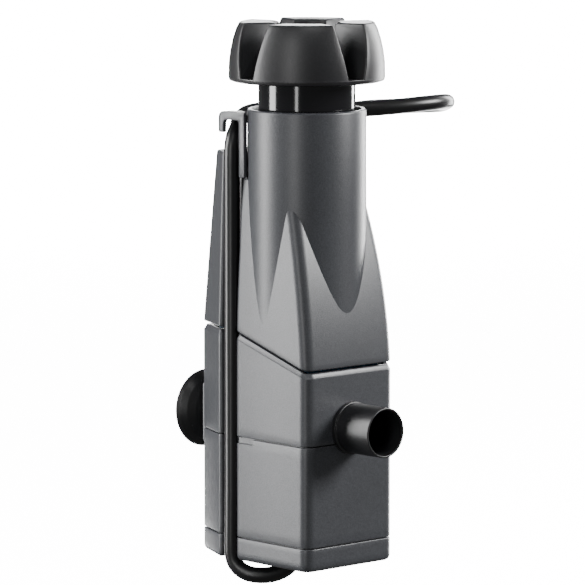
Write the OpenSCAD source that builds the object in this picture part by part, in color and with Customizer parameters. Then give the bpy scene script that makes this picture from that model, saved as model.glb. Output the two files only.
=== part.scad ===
// Surface-skimming internal aquarium filter: a floating intake crown on a sliding tube, three stacked
// casings, an outlet spigot, a suction cup and a mains cord that runs up a groove.
// Millimetres, +Z up, outlet towards -Y. The origin is the centre of the suction cup's face.

/* [Casings] */
// Half width of the casings below the taper
half_w = 20.1; // [19.9:0.1:20.4]
// Distance from the tube's axis to the front wall
front_y = 21.7; // [21.4:0.1:22]
// Distance from the tube's axis to the rear wall
rear_y = 36.7; // [36.4:0.1:37]
// Wall thickness of the casings
wall = 2; // [1.8:0.1:2.2]
// Height of the joint between the base cap and the pump casing
cap_z = 8; // [7.8:0.1:8.4]
// Height of the joint between the pump casing and the middle casing
pump_z = 42; // [41.8:0.1:42.2]
// Height of the upper joint at the front wall
seam_front_z = 67; // [66.5:0.1:67.5]
// Height of the upper joint at the rear wall
seam_rear_z = 78; // [77.5:0.1:78.5]
// Radius of the front corners
front_round = 3.8; // [3:0.1:4]

/* [Skimmer] */
// Outer radius of the collar
collar_r = 19.9; // [19.8:0.05:20]
// Height of the collar's rim above the base
collar_z = 152; // [151.5:0.1:152.5]
// Outer radius of the sliding tube
tube_r = 16.2; // [16:0.05:16.3]
// Outer radius of the crown
crown_r = 26.1; // [25.8:0.1:26.4]
// Height of the crown's underside above the base, at rest
crown_z = 161.2; // [161:0.1:161.6]
// Turn of the crown's blocks from the diagonals
crown_turn = -3.5; // [-5:0.5:0]
// How far the tube can rise
tube_travel = 30; // [26:1:30]

/* [Outlet] */
// Height of the outlet's axis above the base
outlet_z = 47; // [46.8:0.1:47.2]
// Outer radius of the spigot
spigot_r = 8.35; // [8.3:0.05:8.45]
// Bore radius of the spigot
spigot_bore_r = 7.6; // [7.4:0.05:7.7]
// Length of the spigot in front of the wall
spigot_l = 16.5; // [15:0.1:18]

/* [Suction cup] */
// Radius of the cup's lip
cup_r = 13.2; // [12.8:0.1:13.6]
// Distance from the tube's axis to the glass
glass_y = 51.6; // [51.4:0.1:51.8]
// Height of the cup's centre above the base
cup_z = 45.9; // [45.5:0.1:46.3]

/* [Cord] */
// Diameter of the cord
cord_d = 5.4; // [5.2:0.1:5.6]
// Radius of the coil at the middle of its turns
coil_r = 26; // [25.5:0.1:26.5]

/* [Hidden] */
$fn = 72;

casing_grey = [0.25, 0.26, 0.27];
dark_grey = [0.16, 0.16, 0.17];
gloss_black = [0.03, 0.03, 0.035];
rubber_black = [0.05, 0.05, 0.05];
pale_grey = [0.62, 0.63, 0.64];

// The groove for the cord in the left wall
groove_front_y = 14;
groove_rear_y = 20.6;
groove_floor_x = 14.2;
// The corners behind the groove
strip_x = 20.1;
strip_y = 21;
rear_x = 13.6;
// The taper of the upper casing
taper_z = 66;
front_slope = 0.0496;
front_bulge = 0.00237;
side_bulge = 0.00087;
rear_lean = 0.0966;
strip_lean = 0.027;
shoulder_z = 129;
spine_z = 137.1;
corner_steps = 4;
// Gaps that show as dark lines between the casings
thin_gap = 0.35;
wide_gap = 0.9;
// The chamber under the collar and the flange of the sliding tube
chamber_top_z = 100;
flange_z = 106.8;
flange_h = 2;
stop_gap = 0.3;
// The pump's axis
pump_y = -4;
can_r = 8.4;
magnet_r = 6.5;
bush_z = 51.2;
shaft_r = 1;
running = 0.05;
// The swivel fit of the spigot
stem_r = 8;

// Directions in plan of the stretch behind the collar: along the view's width and away from it
across = [0.734, -0.679];
away = [0.679, 0.734];
floor_z = -8.1;
// Points of the cord as [across, away, height], from the gland to the coil
route = [
    [-2.4, -0.9, 10.6], [-2.4, -0.9, 5.5], [-3.1, -1, 1.8], [-5, -1.4, -1.4], [-8, -1.9, -3.8],
    [-11.8, -2.2, -5.1], [-15.8, -2.2, -5.4], [-19.6, -1.6, -4.9], [-22.8, -0.5, -3.2],
    [-24.6, 0.3, -0.4], [-25.1, 0.3, 3.4], [-25.1, 0.3, 10], [-25, 0.3, 24], [-25, 0.3, 38],
    [-25, 0.3, 54], [-25, 0.3, 70], [-25, 0.3, 86], [-25, 0.3, 102], [-25, 0.3, 116],
    [-25, 0.3, 128], [-25, 0.3, 138], [-24.4, 2.4, 142.4], [-23.2, 5.6, 144.9], [-22.6, 10.6, 147],
    [-20.4, 16, 148.9], [-15.4, 21.2, 149.6], [-7.6, 24.8, 149.6], [2, 26.6, 149.2], [12, 28, 149],
    [22, 30, 149.3], [31, 33, 149.8], [39.4, 37.4, 150.3], [45.6, 43.4, 150.4], [48.2, 50.8, 149.8],
    [45.8, 58.2, 148.2], [39.4, 62.8, 147.6], [30.6, 64, 147.1], [20.6, 63, 146.7], [11, 61.6, 145],
    [2.4, 60.4, 140], [-4.2, 59.4, 132], [-7.6, 58.6, 121], [-8, 57.8, 108], [-5.4, 57, 93],
    [0.4, 56.2, 77], [8, 55.4, 60], [15.8, 54.8, 43], [21.6, 54.8, 28], [24.6, 56.6, 16],
    [25.2, 61.8, 8.2], [25.2, 70, 5.4]
];
coil_middle = [-3.5, 70];
coil_layers = 3;
// Points of the lead from the coil's last turn to the plug
lead_route = [
    [-26.8, 70, 5.4], [-26.3, 62, 7.8], [-24.6, 54.8, 11.6], [-20.4, 48.8, 14.2], [-14, 46.2, 15.3],
    [-7.6, 48.6, 15.3], [-4.2, 54.4, 15.3], [-3.5, 62, 15.3]
];
plug_z = 15.3;

function unit(v) = v / norm(v);
// A level of the body: from the origin at the tube's axis and the base to the cup's face
module in_place() {
    translate([0, -glass_y, -cup_z]) children();
}

function wide_at(z) = z < taper_z ? half_w : half_w - side_bulge * (z - taper_z) ^ 2;
function front_at(z) =
    let (rise = max(z - taper_z, 0)) front_y - front_slope * rise - front_bulge * rise ^ 2;
function lean_at(z, rate) = z < seam_rear_z ? 0 : rate * (z - seam_rear_z);

// Corners of a level as [x, y, radius], drawn t inside the outer skin
function corners(z, t) = [
    [-wide_at(z) + t, -front_at(z) + t, max(front_round - t, 0.8)],
    [-wide_at(z) + t, groove_front_y - t, max(min(3, wide_at(z) - groove_floor_x - 1) - t, 0.6)],
    [-groove_floor_x + t, groove_front_y - t, 0.6],
    [-groove_floor_x + t, groove_rear_y + t, 0.6],
    [-strip_x + lean_at(z, strip_lean) + t, strip_y + t, max(1.6 - t, 0.6)],
    [-rear_x + t * 0.9, rear_y - lean_at(z, rear_lean) - t, 0.9],
    [rear_x - t * 0.9, rear_y - lean_at(z, rear_lean) - t, 1.4],
    [strip_x - lean_at(z, strip_lean) - t, strip_y, max(4 - t, 1)],
    [wide_at(z) - t, -front_at(z) + t, max(front_round - t, 0.8)]
];

// The arc that rounds corner p between its neighbours a and b
function rounded_corner(a, p, b) =
    let (
        u = unit([a.x - p.x, a.y - p.y]),
        v = unit([b.x - p.x, b.y - p.y]),
        half = acos(u * v) / 2,
        middle = [p.x, p.y] + unit(u + v) * p.z / sin(half),
        first = [p.x, p.y] + u * p.z / tan(half) - middle,
        last = [p.x, p.y] + v * p.z / tan(half) - middle
    )
    [for (k = [0:corner_steps]) middle + p.z * unit(first * (corner_steps - k) + last * k)];

function outline(c) =
    let (n = len(c))
    [for (i = [0:n - 1]) each rounded_corner(c[(i + n - 1) % n], c[i], c[(i + 1) % n])];

function level(z, t = 0) = outline(corners(z, t));

// The upper casing's skin: its plan, its profile from the side and its profile from the front, crossed
module upper_skin() {
    steps = [for (k = [0:6]) taper_z + (shoulder_z - taper_z) * k / 6];
    from_side = concat(
        [[-front_y, taper_z - 6]],
        [for (z = steps) [-front_at(z), z]],
        [[groove_rear_y, shoulder_z], [groove_rear_y, spine_z], [rear_y - lean_at(spine_z, rear_lean), spine_z]],
        [[rear_y, seam_rear_z], [rear_y, taper_z - 6]]
    );
    half_front = concat([[half_w, taper_z - 6]], [for (z = steps) [wide_at(z), z]]);
    from_front = concat(half_front, [for (k = [7:-1:0]) [-half_front[k].x, half_front[k].y]]);
    lean_x = strip_x - lean_at(spine_z, strip_lean);
    intersection() {
        straight(taper_z - 4, spine_z);
        translate([-30, 0, 0]) rotate([90, 0, 90]) linear_extrude(60) polygon(from_side);
        union() {
            translate([0, groove_rear_y, 0]) rotate([90, 0, 0]) linear_extrude(60) polygon(from_front);
            translate([0, 60, 0]) rotate([90, 0, 0]) linear_extrude(60 - groove_rear_y) polygon([
                [-half_w, taper_z - 6], [half_w, taper_z - 6], [half_w, seam_rear_z], [lean_x, spine_z],
                [-lean_x, spine_z], [-half_w, seam_rear_z]
            ]);
        }
    }
}

module straight(z0, z1, t = 0) {
    translate([0, 0, z0]) linear_extrude(z1 - z0) polygon(level(0, t));
}

// Everything under the slanting upper joint, raised by lift
module below_seam(lift) {
    big = 60;
    translate([-big, 0, 0]) rotate([90, 0, 90]) linear_extrude(2 * big)
        polygon([
            [-big, -big], [big, -big], [big, seam_rear_z + lift], [15.5, seam_rear_z + lift],
            [-front_y + 1.5, seam_front_z + lift], [-big, seam_front_z + lift]
        ]);
}

module along_y(y0, y1, r) {
    translate([0, y1, 0]) rotate([90, 0, 0]) cylinder(h = y1 - y0, r = r);
}

module skimmer_crown() {
    slot_z = 162.9;
    top_z = 181.1;
    well_r = 11;
    color(casing_grey) in_place() rotate([0, 0, crown_turn]) difference() {
        rotate_extrude() polygon([
            [well_r, crown_z], [24.6, crown_z], [25.8, 161.6], [crown_r, 162.6], [26, 167.5], [25.5, 171.5],
            [24.7, 175.2], [23.6, 178.7], [22.6, 180.5], [21.4, top_z], [13, 181], [well_r, 180.6]
        ]);
        translate([0, 0, crown_z - 1]) difference() {
            cylinder(h = 2, r = tube_r);
            cylinder(h = 2, r = tube_r - 1.4);
        }
        for (a = [0:90:270]) rotate([0, 0, a]) hull() {
            for (end = [[slot_z, 7], [top_z + 1, 16.6]])
                translate([0, 0, end[0]]) linear_extrude(0.01)
                    polygon([[0.5, 0], [40, 40 * tan(end[1])], [40, -40 * tan(end[1])]]);
        }
    }
}

module skimmer_tube() {
    color(gloss_black) in_place() rotate_extrude() polygon([
        [tube_r - 1.4, flange_z], [17.8, flange_z], [17.8, flange_z + flange_h],
        [tube_r, flange_z + flange_h], [tube_r, crown_z + 1],
        [tube_r - 1.4, crown_z + 1]
    ]);
}

module tube_seal() {
    color(rubber_black) in_place() rotate_extrude()
        translate([tube_r + 0.95, 147.4]) circle(r = 0.85, $fn = 24);
}

module upper_housing() {
    color(casing_grey) in_place() difference() {
        union() {
            upper_skin();
            translate([0, 0, seam_rear_z + 0.6]) cylinder(h = collar_z - seam_rear_z - 0.6, r = collar_r);
        }
        below_seam(wide_gap / 2);
        straight(taper_z - 5, 82, wall + 0.2);
        straight(81, chamber_top_z, wall + 4.6);
        translate([0, 0, chamber_top_z - 1]) cylinder(h = 20, r = 15);
        translate([0, 0, flange_z - stop_gap]) cylinder(h = flange_h + tube_travel + 2 * stop_gap, r = 18);
        translate([0, 0, flange_z]) cylinder(h = 60, r = tube_r + running);
        translate([0, 0, 146.4]) cylinder(h = 10, r = 18.1);
        translate([-16.55, 11.55, 126.45]) cube([1, 2.1, 4.7]);
    }
}

module middle_housing() {
    lip_z = 60;
    color(casing_grey) in_place() difference() {
        union() {
            intersection() {
                straight(pump_z + thin_gap / 2, 82);
                below_seam(-wide_gap / 2);
            }
            intersection() {
                straight(lip_z, 84, wall + 0.3);
                below_seam(2.4);
            }
        }
        straight(pump_z - 1, lip_z, wall);
        straight(lip_z - 0.1, 90, wall + 1.2);
        translate([0, 0, outlet_z]) along_y(-30, -10, stem_r + running);
        translate([-21, 4.6, pump_z - 2]) cube([1.6, 10, 2.6]);
    }
}

module pump_housing() {
    color(casing_grey) in_place() difference() {
        union() {
            difference() {
                straight(cap_z + thin_gap / 2, pump_z - thin_gap / 2);
                straight(cap_z - 1, pump_z + 1, wall);
            }
            difference() {
                straight(pump_z - 4, pump_z + 2.6, wall + 0.05);
                straight(pump_z - 5, pump_z + 4, wall + 1.1);
            }
            translate([0, 0, pump_z - 3.4]) difference() {
                straight(0, 1.8, wall - 0.05);
                translate([0, pump_y, -1]) cylinder(h = 4, r = can_r + 0.02);
            }
        }
        translate([0, 0, outlet_z]) {
            along_y(-30, -10, stem_r + running);
            along_y(wall - front_y, -8, 9.9);
        }
        translate([-21, 4.6, pump_z - 1.7]) cube([2.2, 8.2, 3]);
    }
}

module base_cap() {
    color(casing_grey) in_place() difference() {
        union() {
            straight(0, cap_z - thin_gap / 2);
            difference() {
                straight(cap_z - 1, cap_z + 2.4, wall + 0.05);
                straight(cap_z - 2, cap_z + 4, wall + 1.1);
            }
        }
        straight(2, cap_z + 1, wall + 1.1);
        translate([route[0].x * across.x + route[0].y * away.x, route[0].x * across.y + route[0].y * away.y, -1])
            cylinder(h = 8, r = 4.2);
    }
}

module housing_seal() {
    color(rubber_black) in_place() difference() {
        straight(pump_z - 0.15, pump_z + 0.15, wall - 1.1);
        straight(pump_z - 2, pump_z + 2, wall + 0.05);
        translate([0, 0, outlet_z]) along_y(-30, -10, stem_r + 0.4);
    }
}

module cap_seal() {
    color(rubber_black) in_place() difference() {
        straight(cap_z - 0.15, cap_z + 0.15, wall - 1.1);
        straight(cap_z - 2, cap_z + 2, wall + 0.05);
    }
}

module outlet_nozzle() {
    face_y = -front_y - 0.1;
    color(dark_grey) in_place() translate([0, 0, outlet_z]) difference() {
        union() {
            along_y(face_y - 1.4, face_y, spigot_r + 0.45);
            along_y(face_y - spigot_l, face_y - 1, spigot_r);
            along_y(face_y - 1, -14.5, stem_r);
        }
        along_y(face_y - spigot_l - 1, -14, spigot_bore_r);
    }
}

module nozzle_seal() {
    color(rubber_black) in_place() translate([0, -18.4, outlet_z]) rotate([90, 0, 0]) rotate_extrude()
        translate([stem_r + 0.75, 0]) circle(r = 0.65, $fn = 24);
}

module foam_cartridge() {
    color([0.1, 0.22, 0.32]) in_place() difference() {
        union() {
            straight(58.6, 77, wall + 1.9);
            straight(76, chamber_top_z - 1, wall + 5.4);
        }
        translate([0, 0, 50]) cylinder(h = 60, r = 7);
    }
}

module foam_screen() {
    color(dark_grey) in_place() difference() {
        straight(56.8, 58.3, wall + 0.05);
        for (x = [-12:4:12], y = [-14:4:10]) translate([x, y, 50]) cylinder(h = 10, r = 1.4, $fn = 24);
        for (x = [-4:4:12], y = [14:4:30])
            if (x < 13 - (y - 10) / 4) translate([x, y, 50]) cylinder(h = 10, r = 1.4, $fn = 24);
    }
}

module pump_cover() {
    color(dark_grey) in_place() difference() {
        union() {
            translate([0, pump_y, pump_z - 1.5]) cylinder(h = 14.6, r = 13.4);
            translate([0, 0, outlet_z]) along_y(-19.4, pump_y, 9.6);
        }
        translate([0, pump_y, pump_z - 2.5]) cylinder(h = 13.6, r = 12);
        translate([0, pump_y, 40]) cylinder(h = 30, r = 5);
        translate([0, 0, outlet_z]) along_y(-20, pump_y, stem_r + running);
        translate([-12, -20, 36]) cube([24, 30, 4.4]);
        translate([0, -18.4, outlet_z]) rotate([90, 0, 0]) rotate_extrude()
            translate([stem_r + 0.75, 0]) circle(r = 0.65, $fn = 24);
    }
    color(dark_grey) in_place() translate([0, pump_y, bush_z]) {
        for (a = [0:120:240]) rotate([0, 0, a]) translate([2.4, -0.6, 1.9]) cube([3.4, 1.2, 1.6]);
        difference() {
            cylinder(h = 3.5, r = 3);
            translate([0, 0, -1]) cylinder(h = 3.2, r = 1.8);
        }
    }
}

module impeller() {
    color(pale_grey) in_place() translate([0, pump_y, 0]) difference() {
        union() {
            translate([0, 0, 41.2]) cylinder(h = 1.4, r = 8);
            translate([0, 0, 41.2]) cylinder(h = 9, r = 2.6);
            for (a = [0:60:300]) rotate([0, 0, a]) translate([0, -0.5, 42]) cube([9, 1, 8]);
        }
        translate([0, 0, 40]) cylinder(h = 20, r = shaft_r + running);
    }
}

module rotor_magnet() {
    color([0.18, 0.17, 0.17]) in_place() translate([0, pump_y, 15]) difference() {
        cylinder(h = 26.2, r = magnet_r);
        translate([0, 0, -1]) cylinder(h = 30, r = shaft_r + running);
    }
}

module impeller_shaft() {
    color([0.9, 0.9, 0.88]) in_place() translate([0, pump_y, 12]) cylinder(h = 41, r = shaft_r);
}

module bush(z0, h, r) {
    color(rubber_black) in_place() translate([0, pump_y, z0]) difference() {
        cylinder(h = h, r = r);
        translate([0, 0, -1]) cylinder(h = h + 2, r = shaft_r);
    }
}

module upper_bush() {
    bush(bush_z, 1.9, 1.8);
}

module lower_bush() {
    bush(12, 2.4, 3);
}

module rotor_can() {
    color(dark_grey) in_place() translate([0, pump_y, 0]) difference() {
        translate([0, 0, 11]) cylinder(h = 29.4, r = can_r);
        translate([0, 0, 12]) cylinder(h = 30, r = can_r - 1);
    }
}

module stator_core() {
    color([0.45, 0.45, 0.46]) in_place() difference() {
        translate([-11.8, -16.4, 18]) cube([23.6, 47.4, 12]);
        translate([0, pump_y, 17]) cylinder(h = 14, r = can_r + 0.1);
        translate([-6, 8, 17]) cube([12, 13.4, 14]);
    }
}

module coil_bobbin() {
    color([0.85, 0.83, 0.76]) in_place() difference() {
        union() {
            translate([-5.8, 20.2, 16.8]) cube([11.6, 12, 14.4]);
            for (x = [-5.8, 4.8]) translate([x, 14, 13]) cube([1, 19.4, 22]);
        }
        translate([-7, 21.4, 18]) cube([14, 9.6, 12]);
    }
}

module stator_coil() {
    color([0.6, 0.3, 0.14]) in_place() difference() {
        translate([-4.7, 15, 14]) cube([9.4, 17.8, 20]);
        translate([-6, 20.2, 16.8]) cube([12, 12, 14.4]);
    }
}

module potting() {
    gap = 0.02;
    color([0.12, 0.11, 0.1]) in_place() difference() {
        straight(10.6, 37, wall + gap);
        translate([0, pump_y, 10]) cylinder(h = 30, r = can_r + gap);
        translate([-11.8 - gap, -16.4 - gap, 18 - gap]) cube([23.6 + 2 * gap, 47.4 + 2 * gap, 12 + 2 * gap]);
        translate([-5.8 - gap, 14 - gap, 12]) cube([11.6 + 2 * gap, 19.4 + 2 * gap, 26]);
    }
}

module suction_cup() {
    color(rubber_black) rotate([90, 0, 0]) rotate_extrude() polygon([
        [0, 3.4], [4, 3.2], [8, 2.3], [11.4, 0.7], [12.3, 0], [cup_r, 0], [cup_r + 0.05, 0.5], [12.6, 1.6],
        [10.9, 3.4], [8.6, 5.2], [6, 6.7], [3.2, 7.6], [3.2, 10.7], [4.5, 10.9], [4.5, 12], [3.4, 13], [0, 13]
    ]);
}

module cup_holder() {
    back = glass_y - rear_y;
    color(casing_grey) difference() {
        translate([-8, -back + 0.02, -10]) cube([16, back - 8.2, 20]);
        translate([-6, -back - 1, -8]) cube([12, back - 9.8, 19]);
        translate([0, 0, 0]) along_y(-12, -7, 3.3);
        translate([-3.3, -12, 0]) cube([6.6, 5, 12]);
    }
}

module cord_hook() {
    face_x = -18.3;
    front_y = 11;
    rear_end_y = 23.9;
    top = 150.8;
    roof_z = 148;
    round_r = 2.2;
    color(casing_grey) in_place() union() {
        translate([face_x, 0, 0]) rotate([90, 0, 90]) linear_extrude(1.6) difference() {
            union() {
                translate([front_y, 129.1]) square([2.8, top - 129.1]);
                translate([front_y, roof_z]) square([rear_end_y - front_y, top - roof_z]);
                translate([21.3, 143.6]) square([rear_end_y - 21.3, top - 143.6]);
            }
            translate([rear_end_y - round_r, top - round_r]) difference() {
                square(round_r + 0.1);
                circle(r = round_r);
            }
        }
        translate([-16.8, 14.8, roof_z]) cube([3.2, 6.9, top - roof_z]);
        translate([-16.8, 11.6, 129.1]) cube([1.2, 2, 2]);
        translate([-16.5, 11.6, 126.5]) cube([0.9, 2, 4]);
    }
}

function in_plan(p) = [p.x * across.x + p.y * away.x, p.x * across.y + p.y * away.y, p.z];

// A point on the smooth curve through list p, after point i
function through(p, i, s) =
    let (
        n = len(p) - 1,
        a = p[max(i - 1, 0)],
        b = p[i],
        c = p[min(i + 1, n)],
        d = p[min(i + 2, n)]
    )
    b + (c - a) * s / 2 + (2 * a - 5 * b + 4 * c - d) * s ^ 2 / 2 + (3 * b - a - 3 * c + d) * s ^ 3 / 2;

function turned_on(normal, t) = unit(normal - (normal * t) * t);
function normals(t, i, before) =
    i == len(t) ? [] : let (n = turned_on(before, t[i])) concat([n], normals(t, i + 1, n));

// A round tube swept along list p, with a ring every half point
module swept(p, d) {
    sides = 8;
    line = [
        for (i = [0:len(p) - 2]) each [in_plan(through(p, i, 0)), if (i % 2 == 0) in_plan(through(p, i, 0.5))],
        in_plan(p[len(p) - 1])
    ];
    last = len(line) - 1;
    t = [for (i = [0:last]) unit(line[min(i + 1, last)] - line[max(i - 1, 0)])];
    n = normals(t, 0, [0.3, 0.9, 0.2]);
    points = [
        for (i = [0:last], k = [0:sides - 1])
            line[i] + d / 2 * (cos(360 * k / sides) * n[i] + sin(360 * k / sides) * cross(t[i], n[i]))
    ];
    skin = [
        for (i = [0:last - 1], k = [0:sides - 1])
            each [
                [i * sides + k, i * sides + (k + 1) % sides, (i + 1) * sides + (k + 1) % sides],
                [i * sides + k, (i + 1) * sides + (k + 1) % sides, (i + 1) * sides + k]
            ]
    ];
    ends = [[for (k = [sides - 1:-1:0]) k], [for (k = [0:sides - 1]) last * sides + k]];
    polyhedron(points, [for (f = concat(skin, ends)) [for (k = [len(f) - 1:-1:0]) f[k]]]);
}

module cord_gland() {
    hole = in_plan(route[0]);
    color(rubber_black) in_place() translate([hole.x, hole.y, 0]) difference() {
        union() {
            translate([0, 0, -0.6]) cylinder(h = 0.6, r = 4.9);
            translate([0, 0, -0.6]) cylinder(h = 8, r = 4.2);
        }
        translate([0, 0, -2]) cylinder(h = 20, r = cord_d / 2 + 0.05);
    }
}

module power_cord() {
    color(rubber_black) in_place() swept(route, cord_d);
}

module cord_coil() {
    middle = in_plan([coil_middle.x, coil_middle.y, 0]);
    color(rubber_black) in_place() translate([middle.x, middle.y, floor_z]) rotate_extrude()
        translate([coil_r - cord_d, 0]) square([2 * cord_d, coil_layers * cord_d]);
}

module plug_lead() {
    color(rubber_black) in_place() swept(lead_route, cord_d);
}

module along_away(from_away) {
    spot = in_plan([coil_middle.x, from_away, plug_z]);
    in_place() translate(spot) rotate([0, 0, atan2(away.y, away.x)]) children();
}

module cord_tie() {
    thick = 1;
    color(dark_grey) along_away(coil_middle.y) translate([-coil_r, 0, 0]) rotate([90, 0, 0])
        translate([0, floor_z + coil_layers * cord_d / 2 - plug_z, -2]) linear_extrude(4) difference() {
            square([2 * cord_d + 2 * thick, coil_layers * cord_d + 2 * thick], center = true);
            square([2 * cord_d, coil_layers * cord_d], center = true);
        }
}

module plug_body() {
    color(rubber_black) along_away(62) difference() {
        union() {
            rotate([0, 90, 0]) cylinder(h = 13, r1 = 3.4, r2 = 4.6);
            translate([12, 0, 0]) linear_extrude(13.6, center = true)
                polygon([[0, -6], [4, -8], [14, -14], [22, -17.2], [24, -17.2], [24, 17.2], [22, 17.2], [14, 14], [4, 8], [0, 6]]);
        }
        translate([-1, 0, 0]) rotate([0, 90, 0]) cylinder(h = 1, r = 8);
    }
}

module plug_pins() {
    color([0.8, 0.8, 0.8]) along_away(62) for (side = [-1, 1]) translate([36, side * 9, 0])
        rotate([0, 90, 0]) cylinder(h = 19, r = 2);
}

skimmer_crown();
skimmer_tube();
tube_seal();
upper_housing();
middle_housing();
pump_housing();
base_cap();
housing_seal();
cap_seal();
outlet_nozzle();
nozzle_seal();
foam_cartridge();
foam_screen();
pump_cover();
impeller();
rotor_magnet();
impeller_shaft();
upper_bush();
lower_bush();
rotor_can();
stator_core();
coil_bobbin();
stator_coil();
suction_cup();
cup_holder();
cord_hook();
potting();
cord_gland();
power_cord();
cord_coil();
plug_lead();
cord_tie();
plug_body();
plug_pins();
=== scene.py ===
"""Looks of the surface-skimming internal filter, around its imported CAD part."""

import math

import bmesh
import bpy
from mathutils import Matrix, Vector


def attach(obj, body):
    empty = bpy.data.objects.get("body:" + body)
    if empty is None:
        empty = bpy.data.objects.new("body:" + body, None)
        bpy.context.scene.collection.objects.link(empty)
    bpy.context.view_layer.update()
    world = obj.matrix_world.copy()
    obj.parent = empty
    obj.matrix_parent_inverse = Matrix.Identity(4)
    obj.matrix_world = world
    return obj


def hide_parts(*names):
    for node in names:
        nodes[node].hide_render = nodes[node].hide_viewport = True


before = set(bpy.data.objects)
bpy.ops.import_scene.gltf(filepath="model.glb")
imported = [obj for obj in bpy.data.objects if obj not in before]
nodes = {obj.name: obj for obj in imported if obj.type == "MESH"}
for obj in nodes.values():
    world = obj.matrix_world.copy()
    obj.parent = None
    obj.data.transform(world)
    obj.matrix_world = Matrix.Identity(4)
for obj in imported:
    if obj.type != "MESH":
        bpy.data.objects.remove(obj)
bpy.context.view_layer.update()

MM = 0.001
# The part's origin is the suction cup's face; the drawing's is the tube's axis at the base.
GLASS_Y, CUP_Z = 51.6, 45.9
ORIGIN = Vector((0, -GLASS_Y, -CUP_Z))
# Plan directions of the view: to its right, and away from the camera
ACROSS = Vector((0.734, -0.679, 0))
AWAY = Vector((0.679, 0.734, 0))


def place(x, y, z):
    return (Vector((x, y, z)) + ORIGIN) * MM


# ---------------------------------------------------------------- camera

eye = place(-1096.0, -1179.0, 292.5)
aim = place(-3.5, 3.25, 90.2)
camera_data = bpy.data.cameras.new("camera")
camera_data.lens = 298.6
camera_data.sensor_width = 36
camera_data.clip_end = 20
camera = bpy.data.objects.new("camera", camera_data)
bpy.context.collection.objects.link(camera)
camera.location = eye
camera.rotation_euler = (aim - eye).to_track_quat("-Z", "Y").to_euler()
bpy.context.scene.camera = camera

# ---------------------------------------------------------------- materials


def new_material(name):
    m = bpy.data.materials.new(name)
    m.use_nodes = True
    tree = m.node_tree
    return m, tree, tree.nodes["Principled BSDF"]


GRAIN_SIZE = 0.00035


def plastic(name, color, rough, grain=0.12, spread=0.12, metallic=0.0):
    """Moulded surface: a fine grain, slow changes of tone and of gloss."""
    m, tree, shader = new_material(name)
    link = tree.links.new
    where = tree.nodes.new("ShaderNodeTexCoord")
    slow = tree.nodes.new("ShaderNodeTexNoise")
    slow.inputs["Scale"].default_value = 28
    slow.inputs["Detail"].default_value = 3
    link(where.outputs["Object"], slow.inputs["Vector"])
    tone = tree.nodes.new("ShaderNodeValToRGB")
    low = [c * (1 - spread) for c in color]
    high = [min(1, c * (1 + spread)) for c in color]
    tone.color_ramp.elements[0].position = 0.3
    tone.color_ramp.elements[1].position = 0.7
    tone.color_ramp.elements[0].color = (*low, 1)
    tone.color_ramp.elements[1].color = (*high, 1)
    link(slow.outputs["Fac"], tone.inputs["Fac"])
    fine = tree.nodes.new("ShaderNodeTexNoise")
    fine.inputs["Scale"].default_value = 1 / GRAIN_SIZE
    fine.inputs["Detail"].default_value = 2
    link(where.outputs["Object"], fine.inputs["Vector"])
    speckle = tree.nodes.new("ShaderNodeMapRange")
    speckle.inputs["From Min"].default_value = 0.3
    speckle.inputs["From Max"].default_value = 0.7
    speckle.inputs["To Min"].default_value = 1 - grain * 0.5
    speckle.inputs["To Max"].default_value = 1 + grain * 0.5
    link(fine.outputs["Fac"], speckle.inputs["Value"])
    mottled = tree.nodes.new("ShaderNodeVectorMath")
    mottled.operation = "SCALE"
    link(tone.outputs["Color"], mottled.inputs[0])
    link(speckle.outputs["Result"], mottled.inputs["Scale"])
    link(mottled.outputs["Vector"], shader.inputs["Base Color"])
    gloss = tree.nodes.new("ShaderNodeMapRange")
    gloss.inputs["From Min"].default_value = 0.3
    gloss.inputs["From Max"].default_value = 0.7
    gloss.inputs["To Min"].default_value = max(0.02, rough * (1 - spread * 0.6))
    gloss.inputs["To Max"].default_value = min(1, rough * (1 + spread * 0.6))
    link(fine.outputs["Fac"], gloss.inputs["Value"])
    link(gloss.outputs["Result"], shader.inputs["Roughness"])
    bump = tree.nodes.new("ShaderNodeBump")
    bump.inputs["Strength"].default_value = grain
    bump.inputs["Distance"].default_value = 0.00006
    link(fine.outputs["Fac"], bump.inputs["Height"])
    link(bump.outputs["Normal"], shader.inputs["Normal"])
    shader.inputs["Metallic"].default_value = metallic
    return m


def foam_material():
    """Open-cell foam: rounded pores, their hollows darkened with painted shade."""
    m, tree, shader = new_material("foam")
    link = tree.links.new
    where = tree.nodes.new("ShaderNodeTexCoord")
    pores = tree.nodes.new("ShaderNodeTexVoronoi")
    pores.inputs["Scale"].default_value = 700
    link(where.outputs["Object"], pores.inputs["Vector"])
    # Painted shade: near black at the pore hollows, rising to the foam's blue on the cell walls
    tone = tree.nodes.new("ShaderNodeValToRGB")
    tone.color_ramp.elements[0].color = (0.004, 0.01, 0.018, 1)
    tone.color_ramp.elements[1].color = (0.04, 0.11, 0.19, 1)
    tone.color_ramp.elements[1].position = 0.6
    link(pores.outputs["Distance"], tone.inputs["Fac"])
    link(tone.outputs["Color"], shader.inputs["Base Color"])
    bump = tree.nodes.new("ShaderNodeBump")
    bump.inputs["Strength"].default_value = 0.9
    bump.inputs["Distance"].default_value = 0.0008
    link(pores.outputs["Distance"], bump.inputs["Height"])
    link(bump.outputs["Normal"], shader.inputs["Normal"])
    shader.inputs["Roughness"].default_value = 0.95
    return m


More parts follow.
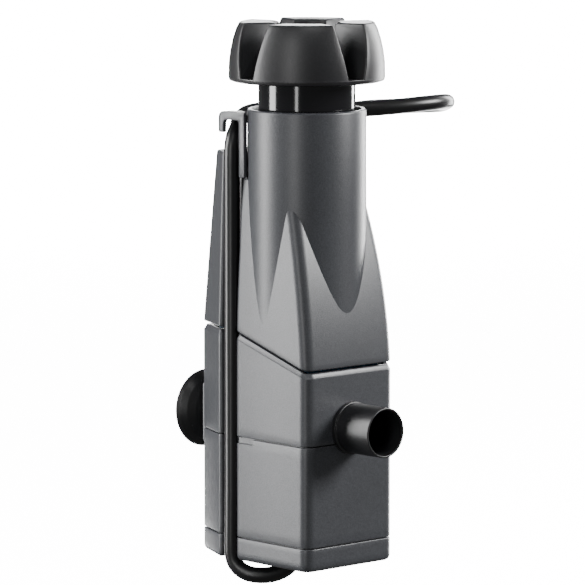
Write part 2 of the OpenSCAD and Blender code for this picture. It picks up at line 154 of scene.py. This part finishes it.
CASING = plastic("casing_plastic", (0.040, 0.042, 0.047), 0.38, grain=0.5, spread=0.07)
CROWN = plastic("crown_plastic", (0.010, 0.010, 0.0115), 0.40, grain=0.4, spread=0.08)
DARK = plastic("dark_plastic", (0.009, 0.009, 0.010), 0.40, grain=0.25, spread=0.1)
TUBE = plastic("gloss_plastic", (0.006, 0.006, 0.007), 0.11, grain=0.03, spread=0.1)
RUBBER = plastic("black_rubber", (0.004, 0.004, 0.0045), 0.36, grain=0.15, spread=0.12)
CORD = plastic("cord_sheath", (0.004, 0.004, 0.0045), 0.34, grain=0.08, spread=0.12)
PALE = plastic("impeller_plastic", (0.5, 0.5, 0.5), 0.4)
MAGNET = plastic("ferrite", (0.05, 0.045, 0.045), 0.35, metallic=0.4)
CERAMIC = plastic("ceramic", (0.8, 0.79, 0.76), 0.12, grain=0.02)
STEEL = plastic("laminations", (0.28, 0.28, 0.3), 0.4, metallic=0.9)
COPPER = plastic("copper_wire", (0.55, 0.22, 0.08), 0.3, metallic=0.9)
RESIN = plastic("cast_resin", (0.02, 0.017, 0.014), 0.2, grain=0.05)
BOBBIN = plastic("bobbin_plastic", (0.7, 0.66, 0.55), 0.45)
PIN = plastic("pin_metal", (0.72, 0.71, 0.68), 0.2, metallic=1.0, grain=0.04)
FOAM = foam_material()

CAD_LOOKS = {
    "tube_seal": RUBBER, "housing_seal": RUBBER, "cap_seal": RUBBER, "nozzle_seal": RUBBER,
    "upper_bush": RUBBER, "lower_bush": RUBBER, "cord_gland": RUBBER, "foam_cartridge": FOAM,
    "foam_screen": DARK, "pump_cover": DARK, "rotor_can": DARK, "impeller": PALE,
    "rotor_magnet": MAGNET, "impeller_shaft": CERAMIC, "stator_core": STEEL, "coil_bobbin": BOBBIN,
    "stator_coil": COPPER, "potting": RESIN,
}
for name, look in CAD_LOOKS.items():
    data = nodes[name].data
    data.materials.clear()
    data.materials.append(look)

# ---------------------------------------------------------------- mesh helpers


SMOOTH_ANGLE = 32


def shade(work, angle):
    """Edges flatter than the angle are shaded smooth, and the rest stay sharp."""
    for edge in work.edges:
        edge.smooth = len(edge.link_faces) == 2 and edge.calc_face_angle(0) < math.radians(angle)


def closed_mesh(name, points, faces):
    """Mesh data with its faces all turned outwards."""
    data = bpy.data.meshes.new(name)
    data.from_pydata(points, [], faces)
    work = bmesh.new()
    work.from_mesh(data)
    bmesh.ops.recalc_face_normals(work, faces=work.faces)
    work.to_mesh(data)
    work.free()
    return data


def finish_mesh(name, verts, faces, look, angle=SMOOTH_ANGLE, body="filter", slot="casing",
                stands_for=None):
    """A piece from points in the drawing's millimetres."""
    data = bpy.data.meshes.new(name)
    data.from_pydata([place(*v) for v in verts], [], faces)
    data.validate()
    work = bmesh.new()
    work.from_mesh(data)
    bmesh.ops.remove_doubles(work, verts=work.verts, dist=2e-6)
    bmesh.ops.recalc_face_normals(work, faces=work.faces)
    shade(work, angle)
    for face in work.faces:
        face.smooth = True
    work.to_mesh(data)
    work.free()
    data.materials.append(look)
    obj = bpy.data.objects.new(name, data)
    bpy.context.collection.objects.link(obj)
    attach(obj, body)
    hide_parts(stands_for or name.replace("_look", ""))
    return obj


def merged(parts):
    """Several (verts, faces) as one."""
    verts, faces = [], []
    for v, f in parts:
        start = len(verts)
        verts += [tuple(p) for p in v]
        faces += [tuple(i + start for i in face) for face in f]
    return verts, faces


def rounded(points, steps=6):
    """Closed outline from [x, y, radius] corners."""
    out = []
    count = len(points)
    for i, (x, y, r) in enumerate(points):
        p = Vector((x, y))
        a = Vector(points[i - 1][:2])
        b = Vector(points[(i + 1) % count][:2])
        u, v = (a - p).normalized(), (b - p).normalized()
        half = u.angle(v) / 2
        if r <= 0 or half > math.radians(89.5):
            out.append((x, y))
            continue
        r = min(r, 0.48 * min((a - p).length, (b - p).length) * math.tan(half))
        middle = p + (u + v).normalized() * r / math.sin(half)
        first = p + u * r / math.tan(half) - middle
        last = p + v * r / math.tan(half) - middle
        whole = first.angle_signed(last)
        for k in range(steps + 1):
            turn = Matrix.Rotation(-whole * k / steps, 2)
            q = middle + turn @ first
            out.append((q.x, q.y))
    return out


def ring_faces(rows, columns, closed_rows=False):
    faces = []
    for j in range(rows if closed_rows else rows - 1):
        for i in range(columns):
            a, b = j * columns + i, j * columns + (i + 1) % columns
            c, d = ((j + 1) % rows) * columns + (i + 1) % columns, ((j + 1) % rows) * columns + i
            faces.append((a, b, c, d))
    return faces


def capped_faces(rows, columns):
    """Faces of a stack of rings with both ends closed."""
    total = rows * columns
    ends = [tuple(range(columns)), tuple(range(total - 1, total - columns - 1, -1))]
    return ring_faces(rows, columns) + ends


def stack(rings):
    """A closed shape through a list of rings of points."""
    return [p for ring in rings for p in ring], capped_faces(len(rings), len(rings[0]))


def lathe(profile, axis="z", centre=(0, 0, 0), count=160):
    """A closed profile of [radius, height] turned round an axis."""
    verts = []
    for r, h in profile:
        for k in range(count):
            a = 2 * math.pi * k / count
            c, s = r * math.cos(a), r * math.sin(a)
            if axis == "z":
                verts.append((centre[0] + c, centre[1] + s, centre[2] + h))
            else:
                verts.append((centre[0] + c, centre[1] + h, centre[2] + s))
    return verts, ring_faces(len(profile), count, closed_rows=True)


def soft_profile(corners, steps=4):
    return rounded(corners, steps)


# ---------------------------------------------------------------- casings

TAPER_Z, SEAM_FRONT, SEAM_REAR = 66.0, 67.0, 78.0
CAP_Z, PUMP_Z, SHOULDER, SPINE = 8.0, 42.0, 129.0, 137.1
# Plan: half width, front, the rear's half width and depth, and where the sides turn in to it
HALF_WIDE, FRONT_Y, REAR_X, REAR_Y, STRIP_Y = 20.1, 21.7, 13.6, 36.7, 21
# Radius of the front corners, and how far the rear parts lean in for each millimetre of height
FRONT_ROUND, STRIP_LEAN, SIDE_LEAN, REAR_LEAN = 3.8, 0.027, 0.017, 0.0966
# The cord's groove in the left wall
GROOVE_FRONT, GROOVE_REAR, GROOVE_FLOOR = 14, 20.6, 14.2
# Half the joint between two casings
JOINT = 0.18
# Height of the outlet, and the radius of its hole
OUTLET_Z, OUTLET_R = 47, 8.05


def wide_at(z):
    return HALF_WIDE if z < TAPER_Z else HALF_WIDE - 0.00087 * (z - TAPER_Z) ** 2


def front_at(z):
    rise = max(z - TAPER_Z, 0)
    return FRONT_Y - 0.0496 * rise - 0.00237 * rise**2


def lean(z, rate):
    return 0 if z < SEAM_REAR else rate * (z - SEAM_REAR)


def corners_at(z, t):
    """Corners of the body's outline as (x, y, radius), drawn t inside the outer skin."""
    w, f = wide_at(z), front_at(z)
    rear_x = REAR_X - lean(z, SIDE_LEAN) - t * 0.9
    rear_y = REAR_Y - lean(z, REAR_LEAN) - t
    strip_x = HALF_WIDE - lean(z, STRIP_LEAN) - t
    front_round = max(FRONT_ROUND - t, 0.8)
    return [
        (-w + t, -f + t, front_round),
        (-w + t, GROOVE_FRONT - t, max(min(2.2, w - 15.2) - t, 0.5)),
        (-GROOVE_FLOOR + t, GROOVE_FRONT - t, 0.6),
        (-GROOVE_FLOOR + t, GROOVE_REAR + t, 0.6),
        (-strip_x, STRIP_Y + t, max(1.3 - t, 0.5)),
        (-rear_x, rear_y, 0.9),
        (rear_x, rear_y, 1.8),
        (strip_x, STRIP_Y, max(4 - t, 1)),
        (w - t, -f + t, front_round),
    ]


def outline_at(z, t=0.0):
    return rounded(corners_at(z, t), 8)


def seam(y):
    """Height of the slanting joint at depth y."""
    if y <= -20.2:
        return SEAM_FRONT
    if y >= 15.5:
        return SEAM_REAR
    return SEAM_FRONT + (SEAM_REAR - SEAM_FRONT) * (y + 20.2) / 35.7


def casing(low, high, low_edge, high_edge, wall=2.0, rows=24):
    """A hollow casing between two heights that may depend on depth. Each edge is a list of
    (inset, height) steps from the rim to the wall."""
    base = outline_at(60)
    n = len(base)
    lows = [low(p[1]) for p in base]
    highs = [high(p[1]) for p in base]

    cache = {}

    def row(z_of, inset):
        out = []
        for i in range(n):
            z = round(z_of(i), 3)
            key = (z, inset)
            if key not in cache:
                cache[key] = outline_at(z, inset)
            x, y = cache[key][i]
            out.append((x, y, z))
        return out

    verts = []
    count = 0
    for inset, up in low_edge:
        verts += row(lambda i, up=up: lows[i] + up, inset)
        count += 1
    first, last = low_edge[-1][1], high_edge[0][1]
    for k in range(1, rows):
        s = k / rows
        verts += row(lambda i, s=s: (lows[i] + first) * (1 - s) + (highs[i] - last) * s, 0.0)
        count += 1
    for inset, down in high_edge:
        verts += row(lambda i, down=down: highs[i] - down, inset)
        count += 1
    for k in range(5):
        s = k / 4
        verts += row(lambda i, s=s: highs[i] * (1 - s) + lows[i] * s, wall)
        count += 1
    return verts, ring_faces(count, n, closed_rows=True)


def flat(z):
    return lambda y: z


def raised(lift):
    return lambda y: seam(y) + lift


def soft_top(r):
    return [(0.0, r), (0.1 * r, 0.55 * r), (0.32 * r, 0.2 * r), (0.62 * r, 0.05 * r), (r, 0.0)]


def soft_bottom(r):
    return list(reversed(soft_top(r)))


def box_mesh(lo, hi):
    v = [(x, y, z) for x in (lo[0], hi[0]) for y in (lo[1], hi[1]) for z in (lo[2], hi[2])]
    f = [(0, 1, 3, 2), (4, 6, 7, 5), (0, 4, 5, 1), (2, 3, 7, 6), (0, 2, 6, 4), (1, 5, 7, 3)]
    return v, f


def cut(obj, tool_mesh):
    """Cuts a closed shape out of a piece, for good."""
    verts, faces = tool_mesh
    tool = bpy.data.objects.new("tool", closed_mesh("tool", [place(*v) for v in verts], faces))
    bpy.context.collection.objects.link(tool)
    mod = obj.modifiers.new("cut", "BOOLEAN")
    mod.operation = "DIFFERENCE"
    mod.solver = "EXACT"
    mod.object = tool
    bpy.context.view_layer.update()
    graph = bpy.context.evaluated_depsgraph_get()
    result = bpy.data.meshes.new_from_object(obj.evaluated_get(graph))
    obj.modifiers.clear()
    obj.data = result
    bpy.data.objects.remove(tool)
    work = bmesh.new()
    work.from_mesh(result)
    shade(work, SMOOTH_ANGLE)
    work.to_mesh(result)
    work.free()


def circle(radius, count):
    turns = [2 * math.pi * k / count for k in range(count)]
    return [(radius * math.cos(a), radius * math.sin(a)) for a in turns]


def solid_disc(radius, y0, y1, z):
    return stack([[(x, y, z + h) for x, h in circle(radius, 64)] for y in (y0, y1)])


# base cap, with a rounded lower edge and a floor
cap_edge = [(3.4, 0.0), (2.0, 0.0), (1.2, 0.12), (0.6, 0.45), (0.2, 1.05), (0.0, 1.9)]
cap = casing(flat(0.0), flat(CAP_Z - JOINT), cap_edge, soft_top(0.3), wall=3.1, rows=4)
cap_floor = stack([[(x, y, z) for x, y in outline_at(60, 3.0)] for z in (0.0, 1.8)])
finish_mesh("base_cap_look", *merged([cap, cap_floor]), CASING)

pump_housing = finish_mesh(
    "pump_housing_look",
    *casing(flat(CAP_Z + JOINT), flat(PUMP_Z - JOINT), soft_bottom(0.3), soft_top(0.3), rows=10),
    CASING,
)
cut(pump_housing, box_mesh((-22, 4.8, 39.9), (-18.9, 13.4, 44)))
cut(pump_housing, solid_disc(OUTLET_R, -30, -12, OUTLET_Z))

middle_edge = [(0.0, 1.7), (0.22, 1.45), (0.62, 0.5), (0.75, 0.15), (0.95, 0.0)]
middle_housing = finish_mesh(
    "middle_housing_look",
    *casing(flat(PUMP_Z + JOINT), raised(-0.5), soft_bottom(0.3), middle_edge, rows=10),
    CASING,
    angle=40,
)
cut(middle_housing, solid_disc(OUTLET_R, -30, -12, OUTLET_Z))

# upper casing: tapered shell, shoulder, spine and collar
upper_shell = casing(raised(0.45), flat(SHOULDER), soft_bottom(0.45), soft_top(0.9), wall=2.4, rows=40)
shoulder = stack([
    [(x, y, z) for x, y in outline_at(SHOULDER, 0.88)] for z in (SHOULDER - 2.0, SHOULDER - 0.02)
])


def spine_outline(z, t):
    c = corners_at(z, t + 0.02)
    return rounded([*c[3:8], (c[7][0] - 2, 14.6, 0.5), (0, 8.6, 0.5)], 6)


spine_rows = [
    (SHOULDER - 2.5, 0), (SHOULDER + 3, 0), (SPINE - 1.0, 0), (SPINE - 0.5, 0.12), (SPINE - 0.16, 0.4),
    (SPINE, 0.95),
]
spine = stack([[(x, y, z) for x, y in spine_outline(z, t)] for z, t in spine_rows])

collar_profile = soft_profile([
    (19.88, 78.4, 0), (19.9, 118, 0), (19.84, 152.0, 0.7), (18.15, 152.0, 0.45), (18.1, 146.4, 0),
    (16.25, 146.4, 0), (16.25, 139.1, 0), (18, 139.1, 0), (18, 106.5, 0), (15, 106.5, 0), (15, 99, 0),
    (18.2, 99, 0), (18.2, 78.4, 0),
])
collar = lathe(collar_profile, count=256)
# The space inside the collar where the tube's flange travels
CHAMBER_LOW, CHAMBER_TOP, CHAMBER_R = 106.6, 139.0, 17.95
chamber = stack([[(x, y, z) for x, y in circle(CHAMBER_R, 160)] for z in (CHAMBER_LOW, CHAMBER_TOP)])


def without(mesh, tool):
    """A closed shape with another closed shape taken out of it."""
    made = []
    for verts, faces in (mesh, tool):
        made.append(bpy.data.objects.new("part", closed_mesh("part", verts, faces)))
        bpy.context.collection.objects.link(made[-1])
    mod = made[0].modifiers.new("cut", "BOOLEAN")
    mod.operation = "DIFFERENCE"
    mod.solver = "EXACT"
    mod.object = made[1]
    done = made[0].evaluated_get(bpy.context.evaluated_depsgraph_get()).to_mesh()
    result = [tuple(v.co) for v in done.vertices], [tuple(f.vertices) for f in done.polygons]
    for obj in made:
        bpy.data.objects.remove(obj)
    return result


upper_parts = [without(part, chamber) for part in (upper_shell, shoulder, spine)]
finish_mesh("upper_housing_look", *merged([*upper_parts, collar]), CASING)

# ---------------------------------------------------------------- skimmer

# Direction of the first block: halfway between two slots, which are turned 3.5 degrees from the body
TURN = math.radians(-90 - 3.5 - 45)


def outset(profile, d):
    """The closed profile moved by d to the left of the way it runs."""
    count = len(profile)
    out = []
    for i in range(count):
        a, b, c = Vector(profile[i - 1]), Vector(profile[i]), Vector(profile[(i + 1) % count])
        u, v = (b - a), (c - b)
        n = Vector((-u.y, u.x)).normalized() + Vector((-v.y, v.x)).normalized()
        n.normalize()
        out.append(tuple(b + n * d))
    return out


merlon_profile = soft_profile([
    (11.0, 162.4, 0), (26.08, 162.4, 0), (26.1, 163.2, 0), (26.0, 167.5, 0), (25.5, 171.5, 0),
    (24.7, 175.2, 0), (23.6, 178.7, 0), (22.4, 181.0, 0.9), (13, 180.98, 0),
    (11.0, 180.6, 0.6),
], 5)


def slot_half(z):
    return math.radians(7 + 9.6 * (z - 162.9) / 18.7)


def merlon(middle):
    """One block of the crown: rings across its profile, from one soft side to the other."""
    edge = [(0, 0.55), (0.06, 0.36), (0.2, 0.16), (0.38, 0.05), (0.6, 0.0)]
    between = [(k / 14, None, 0.0) for k in range(1, 14)]
    stations = [(1, *e) for e in edge] + between + [(-1, *e) for e in reversed(edge)]
    rings = []
    for side, near, inset in stations:
        ring = []
        for r, z in (outset(merlon_profile, inset) if inset else merlon_profile):
            half = math.pi / 4 - slot_half(z)
            if near is None:
                theta = middle + (half - edge[-1][0] / r) * (1 - 2 * side)
            else:
                theta = middle + side * (half - near / r)
            ring.append((r * math.cos(theta), r * math.sin(theta), z))
        rings.append(ring)
    return stack(rings)


crown_ring = lathe(soft_profile([
    (11.0, 161.2, 0.4), (24.7, 161.2, 0), (25.8, 161.6, 0.3), (26.1, 162.6, 0.3), (26.1, 162.95, 0.1),
    (11.0, 162.95, 0.1),
]), count=200)
blocks = [merlon(TURN + math.pi / 2 * k) for k in range(4)]
finish_mesh("skimmer_crown_look", *merged([crown_ring, *blocks]), CROWN, angle=30, body="skimmer")
tube_profile = soft_profile([
    (14.8, 106.8, 0.3), (17.8, 106.8, 0.3), (17.8, 108.8, 0.3), (16.2, 108.8, 0), (16.2, 161.4, 0),
    (14.8, 161.4, 0),
])
finish_mesh("skimmer_tube_look", *lathe(tube_profile, count=200), TUBE, body="skimmer", slot="gloss_tube")

# ---------------------------------------------------------------- outlet

FACE = -21.8
nozzle_profile = soft_profile([
    (7.6, FACE - 16.5, 0.3), (8.35, FACE - 16.5, 0.28), (8.35, FACE - 1.4, 0.25), (8.8, FACE - 1.4, 0.3),
    (8.8, FACE, 0.1), (8.0, FACE, 0), (8.0, -14.5, 0.1), (7.6, -14.5, 0.1),
])
finish_mesh(
    "outlet_nozzle_look", *lathe(nozzle_profile, axis="y", centre=(0, 0, OUTLET_Z), count=140), DARK,
    body="nozzle", slot="dark_plastic",
)

# ---------------------------------------------------------------- suction cup

cup_profile = soft_profile([
    (0.02, -3.4, 0), (4, -3.2, 1), (8, -2.3, 1), (11.4, -0.7, 1), (12.4, 0, 0.2), (13.2, 0, 0.2),
    (13.25, -0.5, 0.2), (12.6, -1.6, 0.6), (10.9, -3.4, 2), (8.6, -5.2, 2), (6, -6.7, 1.5), (3.2, -7.6, 0.6),
    (3.2, -10.7, 0.3), (4.5, -10.9, 0.2), (4.5, -12, 0.6), (3.4, -13, 0.5), (0.02, -13, 0),
], 4)
finish_mesh(
    "suction_cup_look", *lathe(cup_profile, axis="y", centre=(0, GLASS_Y, CUP_Z), count=120), RUBBER,
    slot="rubber",
)

# ---------------------------------------------------------------- hook


def slab(outline, x0, x1, r=0.3):
    """An outline in y and z, as thick as x0 to x1, with softened edges."""
    steps = [(x0, r), (x0 + 0.3 * r, 0.3 * r), (x0 + r, 0), (x1 - r, 0), (x1 - 0.3 * r, 0.3 * r), (x1, r)]
    rings = []
    for x, inset in steps:
        ring = outset(outline, -inset) if inset else outline
        rings.append([(x, y, z) for y, z in ring])
    verts, faces = stack(rings)
    return verts, [tuple(reversed(f)) for f in faces]


hook_face = rounded([
    (11, 129.1, 0.4), (11, 150.8, 0.9), (23.9, 150.8, 2.2), (23.9, 143.6, 0.5), (21.3, 143.6, 0.5),
    (21.3, 148, 1.6), (13.8, 148, 0.9), (13.8, 129.1, 0.4),
], 6)
hook_shelf = rounded([(14.8, 148, 0.2), (14.8, 150.8, 0.4), (21.7, 150.8, 0.4), (21.7, 148, 0.2)], 4)
hook_parts = [
    slab(hook_face, -18.3, -16.7),
    slab(hook_shelf, -16.9, -13.6, 0.25),
    box_mesh((-16.8, 11.6, 129.3), (-15.6, 13.6, 131.1)),
    box_mesh((-16.5, 11.6, 126.5), (-15.6, 13.6, 130.5)),
]
finish_mesh("cord_hook_look", *merged(hook_parts), CASING)

# ---------------------------------------------------------------- cord

CORD_D = 5.4
ROUTE = [
    (-2.4, -0.9, 10.6), (-2.4, -0.9, 5.5), (-3.1, -1, 1.8), (-5, -1.4, -1.4), (-8, -1.9, -3.8),
    (-11.8, -2.2, -5.1), (-15.8, -2.2, -5.4), (-19.6, -1.6, -4.9), (-22.8, -0.5, -3.2),
    (-24.6, 0.3, -0.4), (-25.1, 0.3, 3.4), (-25.1, 0.3, 10), (-25, 0.3, 24), (-25, 0.3, 38),
    (-25, 0.3, 54), (-25, 0.3, 70), (-25, 0.3, 86), (-25, 0.3, 102), (-25, 0.3, 116),
    (-25, 0.3, 128), (-25, 0.3, 138), (-24.4, 2.4, 142.4), (-23.2, 5.6, 144.9), (-22.6, 10.6, 147),
    (-20.4, 16, 148.9), (-15.4, 21.2, 149.6), (-7.6, 24.8, 149.6), (2, 26.6, 149.2), (12, 28, 149),
    (22, 30, 149.3), (31, 33, 149.8), (39.4, 37.4, 150.3), (45.6, 43.4, 150.4), (48.2, 50.8, 149.8),
    (45.8, 58.2, 148.2), (39.4, 62.8, 147.6), (30.6, 64, 147.1), (20.6, 63, 146.7), (11, 61.6, 145),
    (2.4, 60.4, 140), (-4.2, 59.4, 132), (-7.6, 58.6, 121), (-8, 57.8, 108), (-5.4, 57, 93),
    (0.4, 56.2, 77), (8, 55.4, 60), (15.8, 54.8, 43), (21.6, 54.8, 28), (24.6, 56.6, 16),
    (25.2, 61.8, 8.2), (25.2, 70, 5.4),
]
LEAD = [
    (-26.8, 70, 5.4), (-26.3, 62, 7.8), (-24.6, 54.8, 11.6), (-20.4, 48.8, 14.2), (-14, 46.2, 15.3),
    (-7.6, 48.6, 15.3), (-4.2, 54.4, 15.3), (-3.5, 62, 15.3),
]
FLOOR_Z, COIL_R, LAYERS = -8.1, 26.0, 3
COIL_MID = (-3.5, 70.0)


def in_plan(p):
    q = ACROSS * p[0] + AWAY * p[1]
    return Vector((q.x, q.y, p[2]))


def smooth(points, per):
    """Points on the smooth curve through the given ones, with so many to each stretch."""
    out = []
    last = len(points) - 1
    for i in range(last):
        a, b = points[max(i - 1, 0)], points[i]
        c, d = points[i + 1], points[min(i + 2, last)]
        for k in range(per):
            t = k / per
            bend, twist = 2 * a - 5 * b + 4 * c - d, 3 * b - a - 3 * c + d
            out.append(b + (c - a) * t / 2 + bend * t**2 / 2 + twist * t**3 / 2)
    return out + [points[-1]]


def tube_curve(name, points, look, stands_for):
    data = bpy.data.curves.new(name, "CURVE")
    data.dimensions = "3D"
    data.bevel_depth = CORD_D / 2 * MM
    data.bevel_resolution = 7
    data.use_fill_caps = True
    line = data.splines.new("POLY")
    line.points.add(len(points) - 1)
    for q, p in zip(line.points, points, strict=True):
        q.co = (*place(*p), 1)
    line.use_smooth = True
    data.materials.append(look)
    obj = bpy.data.objects.new(name, data)
    bpy.context.collection.objects.link(obj)
    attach(obj, "filter")
    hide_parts(*stands_for)
    return obj


def eased(s):
    """How far a turn has stepped to the next one: all of it in the turn's last part."""
    b = max(0.0, (s - 0.84) / 0.16)
    return b * b * (3 - 2 * b)


# Wound turns: down through the layers on the outer column, then up on the inner one.
OUTER, INNER = COIL_R + CORD_D / 2, COIL_R - CORD_D / 2
levels = [FLOOR_Z + CORD_D * (k + 0.5) for k in range(LAYERS)]
winding = [(OUTER, z) for z in reversed(levels)] + [(INNER, z) for z in levels]
middle = in_plan((*COIL_MID, 0))
STEPS = 40
turns = []
for n, (r0, z0) in enumerate(winding):
    r1, z1 = winding[min(n + 1, len(winding) - 1)]
    for k in range(STEPS // 2 if n == len(winding) - 1 else STEPS):
        b = eased(k / STEPS)
        r, z, angle = r0 + (r1 - r0) * b, z0 + (z1 - z0) * b, 2 * math.pi * k / STEPS
        level = Vector((0, 0, z))
        turns.append(middle + ACROSS * (r * math.cos(angle)) + AWAY * (r * math.sin(angle)) + level)
run = smooth([in_plan(p) for p in ROUTE], 2)
lead = smooth([in_plan(p) for p in LEAD], 2)
line = run[:-1] + turns + lead
cord = tube_curve("mains_cord", line, CORD, ("power_cord", "cord_coil", "plug_lead"))


def cad_look(name, look, bevel=0.0, segments=3):
    """A CAD node in its own shape, with its edges softened."""
    obj = nodes[name]
    obj.data.materials.clear()
    obj.data.materials.append(look)
    if bevel:
        weld = obj.modifiers.new("weld", "WELD")
        weld.merge_threshold = 1e-6
        soft = obj.modifiers.new("soft", "BEVEL")
        soft.width = bevel * MM
        soft.segments = segments
        soft.limit_method = "ANGLE"
        soft.angle_limit = math.radians(35)
        even = obj.modifiers.new("even", "WEIGHTED_NORMAL")
        even.keep_sharp = True


cad_look("cord_tie", DARK, 0.3)
cad_look("plug_body", RUBBER, 1.1, 4)
cad_look("plug_pins", PIN, 0.5)
cad_look("cup_holder", CASING, 0.4)

# ---------------------------------------------------------------- stage


def glow(name, color, strength):
    m, tree, shader = new_material(name)
    shader.inputs["Base Color"].default_value = (*color, 1)
    shader.inputs["Emission Color"].default_value = (*color, 1)
    shader.inputs["Emission Strength"].default_value = strength
    shader.inputs["Roughness"].default_value = 0.9
    return m


def sheet_at(name, middle, right, up, look):
    corners = [middle - right - up, middle + right - up, middle + right + up, middle - right + up]
    data = bpy.data.meshes.new(name)
    data.from_pydata(corners, [], [(0, 1, 2, 3)])
    data.materials.append(look)
    obj = bpy.data.objects.new(name, data)
    bpy.context.collection.objects.link(obj)


FLOOR = (FLOOR_Z - CUP_Z) * MM
WHITE, SHEET_GLOW = (1, 1, 1), 14.0
BACK = glow("backdrop", WHITE, SHEET_GLOW)
GROUND = glow("floor", WHITE, SHEET_GLOW)
sheet_at("backdrop", AWAY * 2.6 + Vector((0, 0, 0.2)), ACROSS * 0.34, Vector((0, 0, 0.6)), BACK)
sheet_at("floor", AWAY * 1.5 + Vector((0, 0, FLOOR - 0.12)), ACROSS * 0.34, AWAY * 1.1, GROUND)


def lamp(name, where, aim_up, size, power):
    """A soft box. Its place is (across, away, up) in metres from the body's middle, and it points
    at the body's axis, aim_up above that middle."""
    data = bpy.data.lights.new(name, "AREA")
    data.shape = "RECTANGLE"
    data.size, data.size_y = size
    data.energy = power
    obj = bpy.data.objects.new(name, data)
    bpy.context.collection.objects.link(obj)
    middle_of_body = place(0, 0, 90)
    across, away, up = where
    obj.location = middle_of_body + ACROSS * across + AWAY * away + Vector((0, 0, up))
    target = middle_of_body + Vector((0, 0, aim_up))
    obj.rotation_euler = (target - obj.location).to_track_quat("-Z", "Y").to_euler()


lamp("key", (-1.0, -0.02, 0.24), 0.01, (0.34, 1.1), 25.5)
lamp("fill", (-0.41, -0.91, 0.25), 0, (0.12, 1.0), 4)
lamp("rim", (0.75, 0.95, 0.15), 0, (0.25, 1.0), 22)
lamp("right", (1.0, -0.08, 0.44), 0.04, (0.4, 0.36), 21)
lamp("top", (0.1, -0.55, 0.95), 0.06, (0.4, 0.4), 2)
world = bpy.data.worlds.new("world")
bpy.context.scene.world = world
world.use_nodes = True
world.node_tree.nodes["Background"].inputs["Color"].default_value = (*WHITE, 1)
world.node_tree.nodes["Background"].inputs["Strength"].default_value = 0.16

bpy.context.view_layer.update()
